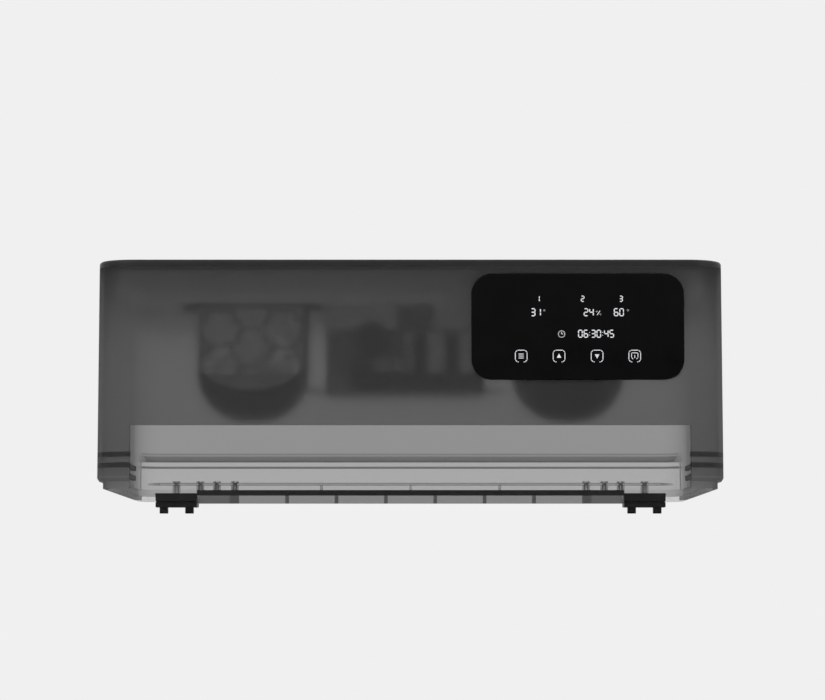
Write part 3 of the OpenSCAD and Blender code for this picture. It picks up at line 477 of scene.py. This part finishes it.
def wall_section(x, y, z, backward, rear):
    """How far in from the outline the outer and the inner face lie at each level and line, by the lip, ribs,
    shelf and skirt that are there, and how thick the plastic looks."""
    skirt = (backward > STRAIGHT) & (np.abs(x) < SKIRT_HALF + STEP)
    round_back = backward > math.cos(math.radians(REAR_TURN))
    flare = np.clip(FLARE * (FLARE_TOP - z) / (FLARE_TOP - WALL_LOW), 0, FLARE)
    outer = np.where(z < WALL_LOW, LIP_OUT, flare) + 0 * x
    outer = np.where(skirt & (z < WALL_LOW), SKIRT_OUT, outer)

    inner = np.where(z < LEDGE, LIP_IN, WALL) + 0 * x
    inner = np.where(round_back & (z > LEDGE) & (z < THIN_TOP), THIN_WALL, inner)
    for bottom, top, deep, shallow in REAR_RIBS:
        slope = deep + (shallow - deep) * (z - bottom) / (top - bottom)
        inner = np.where(round_back & (z > bottom) & (z < top), slope, inner)
    for bottom, top in FRONT_RIBS:
        inner = np.where((y < rear - 2 * CORNER) & (z > bottom) & (z < top), WALL + FRONT_RIB_DEEP, inner)
    on_shelf = (backward > math.cos(math.radians(SHELF_TURN))) & (z > SHELF_LOW) & (z < SHELF_TOP)
    inner = np.where(on_shelf, SHELF_IN, inner)

    between = np.abs(np.abs(x) / SKIRT_PITCH % 1 - 0.5) * SKIRT_PITCH
    rib = (between < SKIRT_RIB_HALF) & (np.abs(x) < SKIRT_RIBS_WITHIN)
    boss = (np.abs(x) > SKIRT_BOSS[0]) & (np.abs(x) < SKIRT_BOSS[1])
    upright = skirt & (z < SKIRT_TOP)
    inner = np.where(upright & (np.abs(x) > SKIRT_BOSS[1]), SKIRT_END_IN, inner)
    inner = np.where(upright & (boss | rib), SKIRT_RIB_IN, inner)

    look = np.where(on_shelf, LOOK_SHELF, np.clip(inner - outer, 0, LOOK_MOST))
    tall_rib = round_back & (z > LOOK_RIB_LOW) & (z < LOOK_RIB_TOP)
    look = np.where(tall_rib, LOOK_RIB + (REAR_RIBS[1][1] - z) * LOOK_RIB_SLOPE, look)
    look = np.where(~skirt & (z > WALL_LOW) & (z < LEDGE), LOOK_FOOT, look)
    return outer, inner, look


def wall_cells(x, lip_x, backward, after, z):
    """True for each cell between two lines and two levels that is plastic: not in the notch, the slots, the
    windows beside them, the display's and the inlet's cut-outs, or under the rim."""
    signed = (x + x[after]) / 2
    cell_x = np.abs(x + x[after]) / 2
    cell_lip = np.abs(lip_x + lip_x[after]) / 2
    cell_y = (backward + backward[after]) / 2
    cell_z = (z[1:] + z[:-1]) / 2
    turned = 0.3
    ahead, behind = cell_y < -turned, cell_y > turned

    def opening(facing, across, upward):
        return (facing & (signed > across[0]) & (signed < across[1])
                & (cell_z > upward[0]) & (cell_z < upward[1]))

    cut = ahead & (cell_x < NOTCH_HALF) & (cell_z < NOTCH_TOP)
    cut |= (cell_z < RIM) & ~(behind & (cell_x < SKIRT_HALF))
    cut |= behind & (cell_lip > SKIRT_HALF) & (cell_lip < SLOT_OUT) & (cell_z < SLOT_TOP)
    cut |= behind & (cell_lip > SLOT_OUT) & (cell_lip < WINDOW_OUT) & (cell_z < WINDOW_TOP)
    cut |= opening(cell_y < -STRAIGHT, display_opening(), DISPLAY_CUT)
    cut |= opening(cell_y > STRAIGHT, inlet_opening(), INLET_CUT)
    return ~cut


def shell_faces(solid, after, columns, inside):
    """Faces of a shell: each solid cell on the outer and on the inner points, and a bridge from one to the
    other along every border between a solid cell and an open one."""
    level, line = np.nonzero(solid)
    a, b = level * columns + line, level * columns + after[line]
    c, d = (level + 1) * columns + after[line], (level + 1) * columns + line
    faces = [np.stack([a, b, c, d], 1), np.stack([a, d, c, b], 1) + inside]
    padded = np.pad(solid, ((1, 1), (0, 0)))
    for side in (False, True):
        edge, line = np.nonzero(padded[1:] != padded[:-1])
        chosen = padded[edge + 1, line] == side
        edge, line = edge[chosen], line[chosen]
        a, b = edge * columns + line, edge * columns + after[line]
        faces.append(np.stack([a, b, b + inside, a + inside], 1))
    level, line = np.nonzero(solid != np.roll(solid, 1, axis=1))
    a, d = level * columns + line, (level + 1) * columns + line
    faces.append(np.stack([a, d, d + inside, a + inside], 1))
    return np.concatenate(faces)


def hood_walls():
    """Shell of the hood. Each line round it and each level give one point outside and one inside, moved in
    from the outline by the wall's section there, and each side comes in as it rises."""
    low, high = corners_of("hood_shell")
    middle, facing = hood_columns(low, high)
    z = hood_rows(high[2])[:, None]
    nominal = middle + facing * CORNER
    x, y, backward = nominal[:, 0], nominal[:, 1], facing[:, 1]
    outer, inner, look = wall_section(x, y, z, backward, high[1])

    rise = np.clip((z - FLARE_TOP) / (high[2] - FLARE_TOP), 0, 1)
    half = high[0] - CORNER
    centre_x = middle[:, 0] * (half - LEAN * rise) / half

    def face(inset):
        reach = CORNER - inset
        return np.stack([centre_x + facing[:, 0] * reach, middle[:, 1] + facing[:, 1] * reach,
                         z + 0 * reach], axis=-1).reshape(-1, 3)

    after = np.roll(np.arange(len(x)), -1)
    solid = wall_cells(x, (middle + facing * LIP)[:, 0], backward, after, z)
    faces = shell_faces(solid, after, look.shape[1], look.size)
    used, compact = np.unique(faces, return_inverse=True)
    points = np.concatenate([face(outer), face(inner)])
    looks = np.concatenate([look.ravel(), look.ravel()])
    piece("hood_walls", points[used], compact.reshape(faces.shape), "smoked_plastic", "hood",
          ("hood_shell",), thickness=looks[used])


def hood_posts():
    """Spacers and gussets under the rear shelf and posts behind the display, as bars and blocks."""
    post_r, screw_edge = 2.6, 2.3
    spacers = ((157.5, 13.5), (141.45, 15.6), (130.35, 15.6), (118.25, 15.6))  # distance out and lower end
    gussets, gusset_half, gusset_y, gusset_low = (-60, 0, 60), 0.8, (121.3, 134.8), 15.65
    display_post_y = (-144.75, -134.7)
    rail_low, rail_high = corners_of("rear_rail")
    shelf_y = (rail_low[1] + rail_high[1]) / 2
    screws_low, screws_high = corners_of("display_screws")
    parts = []
    for side in SIDES:
        for x, bottom in spacers:
            parts.append(round_bar((side * x, shelf_y, bottom), (side * x, shelf_y, SHELF_LOW), post_r))
    for x in gussets:
        left, right = x - gusset_half, x + gusset_half
        parts.append(block((left, gusset_y[0], gusset_low), (right, gusset_y[1], SHELF_LOW)))
    for x in (screws_low[0] + screw_edge, screws_high[0] - screw_edge):
        for z in (screws_low[2] + screw_edge, screws_high[2] - screw_edge):
            parts.append(round_bar((x, display_post_y[0], z), (x, display_post_y[1], z), post_r))
    points, faces = joined(parts)
    piece("hood_posts", points, faces, "smoked_plastic", "hood", thickness=np.full(len(points), LOOK_POSTS))


def roof_panel():
    """Roof: one closed skin over outlines moved in and up along its section, with a quarter round along the
    top edge and the locating lip below, and six posts."""
    turns, edge_r, post_r, screw_edge = 12, 2.2, 3.4, 2.4
    lip_outer, lip_inner, lip_deep = 3.15, 5.15, 2.2
    low, high = corners_of("top_panel")
    deck_low, deck_high = corners_of("deck_screws")
    seat = corners_of("hood_shell")[1][2]
    arc = np.radians(np.linspace(0, 90, 8))
    lip_low = seat - lip_deep
    section = [(lip_inner, seat), (lip_inner, lip_low), (lip_outer, lip_low), (lip_outer, seat), (0, seat)]
    section += [(edge_r * (1 - math.cos(a)), high[2] - edge_r * (1 - math.sin(a))) for a in arc]
    middle, half = (0, (low[1] + high[1]) / 2), (high[0], (high[1] - low[1]) / 2)
    skin = [np.column_stack([*rounded(middle, half, CORNER, inset, turns), np.full(4 * turns, level)])
            for inset, level in section]
    parts = [loops(skin)]
    for x in (deck_low[0] + screw_edge, 0, deck_high[0] - screw_edge):
        for y in (deck_low[1] + screw_edge, deck_high[1] - screw_edge):
            parts.append(round_bar((x, y, low[2]), (x, y, seat), post_r, 24))
    points, faces = joined(parts)
    piece("roof_panel", points, faces, "black_satin_plastic", "hood", ("top_panel",))


# ---- fans ----

DRUM_MOUTH, FAN_DROP = 31.8, 40.6  # half the drum's mouth, and its axis below the deck
ARC_R, ARC_LOW = 48.9, 11.7  # radius of the arc that cuts the drum, and its lowest point below the axis


def woven_screen(side):
    """Plain weave of flat wires, clipped to the mouth of the drum: each wire runs to and fro across the weave
    as a sine wave, and its neighbours half a wave later."""
    pitch, wide, thin, swing, steps = 2.0, 0.42, 0.11, 0.11, 72
    side_gap, arc_gap, top_gap, deck_gap = 0.6, 0.8, 1.0, 0.4
    name = "left" if side < 0 else "right"
    low, high = corners_of(f"fan_screen_{name}")
    middle_x, level_y = (low[0] + high[0]) / 2, (low[1] + high[1]) / 2
    axis_z = high[2] + deck_gap - FAN_DROP
    arc_r = ARC_R - arc_gap
    parts = []

    def wires(ends_low, ends_high, places, upright, phase):
        share = np.linspace(0, 1, steps)[None, :]
        along = ends_low[:, None] + (ends_high - ends_low)[:, None] * share
        turn = np.pi * along / pitch + np.pi * (np.arange(len(places))[:, None] + phase)
        flat = np.array([-wide, 0, wide, 0])
        deep = np.array([0, thin, 0, -thin])
        across = places[:, None, None] + flat + 0 * along[..., None]
        length = along[..., None] + 0 * flat
        depth = level_y + (swing * np.cos(turn))[..., None] + deep
        first, second = (across, length) if upright else (length, across)
        woven = np.stack([middle_x + first, depth, axis_z + second], axis=-1)
        parts.extend(loops(wire) for wire in woven)

    x = np.arange(-15, 16) * pitch
    wires(ARC_R - ARC_LOW - np.sqrt(arc_r ** 2 - x ** 2), np.full(len(x), FAN_DROP - top_gap), x, True, 0)
    z = np.arange(-4, 20) * pitch
    to_arc = np.sqrt(np.clip(arc_r ** 2 - (z - ARC_R + ARC_LOW) ** 2, 1, None))
    width = np.minimum(DRUM_MOUTH - side_gap, to_arc)
    wires(-width, width, z, False, 1)
    points, faces = joined(parts)
    piece(f"woven_screen_{name}", points, faces, "wire_screen", "hood", (f"fan_screen_{name}",), smooth=60)


def rotor(side):
    """Rotor: a domed hub turned from its profile, and seven swept blades whose pitch eases towards the tip.
    Each blade is a skin over closed aerofoil loops from hub to tip, and its section is an arc with a rounded
    thickness on each side."""
    blades, hub, sunk, tip_gap, margin = 7, 11.0, 0.8, 0.3, 0.1
    root_chord, chord_gain, root_pitch, pitch_loss, tip_sweep = 12.5, 5.5, 42, 20, 0.35
    camber, half_thick, blunt, set_back, over = 0.8, 0.42, 1.02, 0.4, 9
    name = "left" if side < 0 else "right"
    low, high = corners_of(f"fan_rotor_{name}")
    axis_x, axis_z = (low[0] + high[0]) / 2, (low[2] + high[2]) / 2
    tip, depth = (high[0] - low[0]) / 2 - tip_gap, high[1] - low[1]
    back = high[1] if side < 0 else low[1]

    turn = np.linspace(0, 2 * np.pi, 40, endpoint=False)
    profile = np.array([[10.6, 0], [hub, 0.4], [hub, depth - 2.6], [10.4, depth - 1.4], [9.2, depth - 0.6],
                        [7, depth - 0.15], [3, depth - 0.02]])
    rings = [np.stack([radius * np.cos(turn), np.full(len(turn), rise), radius * np.sin(turn)], -1)
             for radius, rise in profile]
    parts = [loops(rings)]

    share = np.linspace(0, 1, 12)
    radius = (hub - sunk + (tip - hub + sunk) * share)[:, None]
    chord = (root_chord + chord_gain * share)[:, None]
    pitch = np.radians(root_pitch - pitch_loss * share)[:, None]
    sweep = (tip_sweep * share ** 2)[:, None]
    section = np.concatenate([np.linspace(-0.5, 0.5, over), np.linspace(0.5, -0.5, over)[1:-1]])
    upper = np.concatenate([np.ones(over), -np.ones(over - 2)])
    bulge = camber * (1 - (2 * section) ** 2)
    thick = half_thick * np.sqrt(np.clip(blunt - (2 * section) ** 2, 0, None)) * upper
    around = chord * section * np.cos(pitch) / radius
    rise = chord * section * np.sin(pitch) + bulge + thick + depth / 2 - set_back
    rise = np.clip(rise, margin, depth - margin)
    for blade in range(blades):
        angle = around + sweep + blade * 2 * np.pi / blades
        parts.append(loops(np.stack([radius * np.cos(angle), rise, radius * np.sin(angle)], -1)))
    points, faces = joined(parts)
    points = points * [1, side, 1] + [axis_x, back, axis_z]
    piece(f"rotor_blades_{name}", points, faces, "rotor_plastic", f"rotor_{name}", (f"fan_rotor_{name}",),
          smooth=40)


# ---- display: places on it are measured from the left and down from the top of its glass ----

CAPTIONS, READINGS, CLOCK_TIME, KEYS = 16.8072, 25.3896, 38.2632, 49.5276  # how far down each row is
DEGREES_DOWN, PERCENT_DOWN, CLOCK_DOWN = 22.1712, 23.7208, 36.356
KEY_PLACES = (29.6808, 52.2692, 74.9768, 97.446)
DEGREE_PLACES, PERCENT_PLACE, CLOCK_PLACE = (43.508, 93.4528), 75.9304, 53.8188
NUMBERS = (  # text, place across and down, height and stroke
    ("1", 38.9188, CAPTIONS, 3.2, 0.55), ("2", 65.6196, CAPTIONS, 3.2, 0.55),
    ("3", 88.5656, CAPTIONS, 3.2, 0.55), ("31", 35.76, READINGS, 4.2, 0.62),
    ("24", 67.348, READINGS, 4.2, 0.62), ("60", 85.3472, READINGS, 4.2, 0.55),
    ("06:30:45", 63.9508, CLOCK_TIME, 4.2, 0.6))

SEGMENTS = {"0": "abcdef", "1": "bc", "2": "abged", "3": "abgcd", "4": "fgbc", "5": "afgcd", "6": "afgedc"}
SEGMENT_ENDS = {
    "a": (0, 2, 1, 2), "b": (1, 2, 1, 1), "c": (1, 1, 1, 0), "d": (0, 0, 1, 0), "e": (0, 0, 0, 1),
    "f": (0, 1, 0, 2), "g": (0, 1, 1, 1)}


def display_face():
    """Glass with round corners and an eased front edge: outlines moved in and forward along its section."""
    radius, ease, turns, sunk = 12.5, 0.7, 14, 0.08
    low, high = corners_of("display_glass")
    middle, half = ((low + high) / 2)[[0, 2]], ((high - low) / 2)[[0, 2]]
    front = low[1] + sunk
    arc = np.radians(np.linspace(0, 90, 6))
    section = [(0, high[1])] + [(ease * (1 - math.cos(a)), front + ease * (1 - math.sin(a))) for a in arc]
    rings = []
    for inset, y in section:
        x, z = rounded(middle, half, radius, inset, turns)
        rings.append(np.column_stack([x, np.full(len(x), y), z]))
    points, faces = loops(rings)
    piece("display_face", points, faces, "black_glass", "hood", ("display_glass",))


def stroke(x0, z0, x1, z1, width):
    """Flat bar with pointed ends between two places on the glass."""
    short = 0.35  # how far each end is drawn back, as a share of half the width
    start, end = np.array([x0, z0], float), np.array([x1, z1], float)
    along = (end - start) / np.linalg.norm(end - start)
    side = np.array([-along[1], along[0]]) * width / 2
    tip = along * width / 2
    start, end = start + tip * short, end - tip * short
    return np.array([start, start + tip + side, end - tip + side, end, end - tip - side, start + tip - side])


def path_strokes(path, x, z, width):
    """A stroke along each leg of a path, which is moved to a place."""
    return [stroke(x + a[0], z + a[1], x + b[0], z + b[1], width) for a, b in zip(path, path[1:])]


def circle_strokes(x, z, radius, width, sides=8):
    turn = np.linspace(0, 2 * np.pi, sides + 1)
    ring = np.column_stack([x + radius * np.cos(turn), z + radius * np.sin(turn)])
    return [stroke(*ring[i], *ring[i + 1], width) for i in range(sides)]


def figures(text, x, z, height, width):
    """Seven-segment digits; a colon is two short bars."""
    digit_share, colon_share, gap_share = 0.52, 0.28, 0.26  # widths as shares of the height
    dot_shares, dot_in, dot_tall = (0.2, 0.6), 0.1, 0.75
    shapes = []
    wide, half = height * digit_share, height / 2
    for mark in text:
        if mark == ":":
            for share in dot_shares:
                foot = z + height * share
                shapes.append(stroke(x + dot_in, foot, x + dot_in, foot + dot_tall, width))
            x += height * colon_share
            continue
        for name in SEGMENTS[mark]:
            x0, z0, x1, z1 = SEGMENT_ENDS[name]
            shapes.append(stroke(x + x0 * wide, z + z0 * half, x + x1 * wide, z + z1 * half, width))
        x += wide + height * gap_share
    return shapes


def percent_sign(x, z):
    """A slanted stroke between two small rings."""
    rings = [leg for side in SIDES for leg in circle_strokes(x + 1.1 * side, z - 0.9 * side, 0.45, 0.3)]
    return [stroke(x - 1.0, z - 1.4, x + 1.0, z + 1.4, 0.4)] + rings


def clock_sign(x, z):
    """A ring with two hands."""
    hands = [stroke(x, z, x, z + 1.4, 0.4), stroke(x, z, x + 1.0, z, 0.4)]
    return circle_strokes(x, z, 2.0, 0.42, 14) + hands


def key(x, z):
    """Rounded square with a gap below, as strokes."""
    half, corner, gap_half = 3.5, 1.2, 1.3
    path = [(-gap_half, -half), (-half + corner, -half), (-half, -half + corner), (-half, half - corner),
            (-half + corner, half), (half - corner, half), (half, half - corner), (half, -half + corner),
            (half - corner, -half), (gap_half, -half)]
    return path_strokes(path, x, z, 0.42)


def menu_sign(x, z):
    """Three bars, one above another."""
    return [stroke(x - 1.7, z + level, x + 1.7, z + level, 0.42) for level in (-1.2, 0, 1.2)]


def arrow_sign(x, z, up):
    """Triangle that points up or down."""
    return [np.array([[x - 1.35, z - 1.0 * up], [x + 1.35, z - 1.0 * up], [x, z + 1.5 * up]])]


def power_sign(x, z):
    """A bar inside a square that is open below."""
    ring = [(-0.9, -1.9), (-1.9, -0.9), (-1.9, 1.9), (1.9, 1.9), (1.9, -0.9), (0.9, -1.9)]
    return [stroke(x, z - 1.3, x, z + 0.8, 0.42)] + path_strokes(ring, x, z, 0.38)


def lit_figures():
    """Lit digits, signs and keys: flat shapes a few hundredths of a millimetre thick on the glass."""
    low, high = corners_of("display_glass")

    def at(across, down):
        return across + low[0], high[2] - down

    shapes = []
    for text, across, down, height, width in NUMBERS:
        shapes += figures(text, *at(across, down), height, width)
    for across in DEGREE_PLACES:
        shapes += circle_strokes(*at(across, DEGREES_DOWN), 0.5, 0.3)
    shapes += percent_sign(*at(PERCENT_PLACE, PERCENT_DOWN)) + clock_sign(*at(CLOCK_PLACE, CLOCK_DOWN))
    places = [at(across, KEYS) for across in KEY_PLACES]
    for place in places:
        shapes += key(*place)
    menu, raised, lowered, power = places
    shapes += menu_sign(*menu) + arrow_sign(*raised, 1) + arrow_sign(*lowered, -1) + power_sign(*power)

    front, back = low[1] + 0.02, low[1] + 0.1
    parts = []
    for shape in shapes:
        loop = np.stack([shape[:, 0], np.zeros(len(shape)), shape[:, 1]], axis=-1)
        parts.append(loops(np.stack([loop + [0, front, 0], loop + [0, back, 0]])))
    points, faces = joined(parts)
    piece("display_figures", points, faces, "white_plastic", "hood", finish="lit_figures")


hood_walls()
hood_posts()
roof_panel()
for where in SIDES:
    woven_screen(where)
    rotor(where)
display_face()
lit_figures()


# ---- floor, light and camera: measures in metres ----

AIM = (0, 0, 0.07)  # what the lamps point at


def backdrop():
    """World whose background is pale for the camera, in reflections and through clear plastic, and plain
    light for the rest."""
    light_strength, pale_grey = 0.55, 0.871
    world = bpy.data.worlds.new("studio")
    bpy.context.scene.world = world
    world.use_nodes = True
    tree = world.node_tree
    light = tree.nodes["Background"]
    light.inputs["Color"].default_value = (1, 1, 1, 1)
    light.inputs["Strength"].default_value = light_strength
    pale = tree.nodes.new("ShaderNodeBackground")
    pale.inputs["Color"].default_value = (pale_grey, pale_grey, pale_grey, 1)
    path = tree.nodes.new("ShaderNodeLightPath")
    shown = path.outputs["Is Camera Ray"]
    for ray in ("Is Transmission Ray", "Is Glossy Ray"):
        either = tree.nodes.new("ShaderNodeMath")
        either.operation, either.use_clamp = "ADD", True
        tree.links.new(shown, either.inputs[0])
        tree.links.new(path.outputs[ray], either.inputs[1])
        shown = either.outputs[0]
    mix = tree.nodes.new("ShaderNodeMixShader")
    for place, source in enumerate((shown, light.outputs[0], pale.outputs[0])):
        tree.links.new(source, mix.inputs[place])
    tree.links.new(mix.outputs[0], tree.nodes["World Output"].inputs["Surface"])


def floor():
    """Pale floor, seen only from above, because the camera looks up from under its level."""
    side, level = 6.0, -0.0004
    mesh = bpy.data.meshes.new("floor")
    corners = [(-side, -side, level), (side, -side, level), (side, side, level), (-side, side, level)]
    mesh.from_pydata(corners, [], [(0, 1, 2, 3)])
    thing = bpy.data.objects.new("floor", mesh)
    bpy.context.scene.collection.objects.link(thing)
    finish = Finish("floor", roughness=0.8)
    finish.feed(Base_Color=finish.between(finish.noise(3, 2), (0.78, 0.78, 0.78), (0.82, 0.82, 0.82)))
    under = finish.node("ShaderNodeNewGeometry", out="Backfacing")
    finish.show(under, finish.surface, finish.node("ShaderNodeBsdfTransparent"))
    mesh.materials.append(finish.material)


def lamp(name, place, size, power):
    """Square lamp that points at the hood."""
    data = bpy.data.lights.new(name, "AREA")
    data.shape, data.size, data.energy = "SQUARE", size, power
    thing = bpy.data.objects.new(name, data)
    bpy.context.scene.collection.objects.link(thing)
    back = np.array(place) - np.array(AIM)
    tilt = math.acos(back[2] / np.linalg.norm(back))
    thing.location = place
    thing.rotation_euler = (tilt, 0, math.atan2(back[1], back[0]) + math.pi / 2)


def camera():
    """Long lens a little under the hood's level, tilted up by four degrees."""
    tilt_up = 3.98
    data = bpy.data.cameras.new("camera")
    data.sensor_width, data.lens = 36, 155.65
    data.clip_start, data.clip_end = 0.05, 50
    thing = bpy.data.objects.new("camera", data)
    bpy.context.scene.collection.objects.link(thing)
    thing.location = (0.0013, -2.27375, -0.0569)
    thing.rotation_euler = (math.radians(90 + tilt_up), 0, 0)
    bpy.context.scene.camera = thing


backdrop()
floor()
lamp("key", (-1.1, -1.6, 1.5), 1.4, 16)
lamp("fill", (1.5, -1.0, 0.9), 1.2, 6)
lamp("behind", (0.2, 1.6, 1.2), 1.2, 8)
camera()

bpy.context.scene.view_settings.view_transform = "Standard"
bpy.context.scene.cycles.transparent_max_bounces = 24
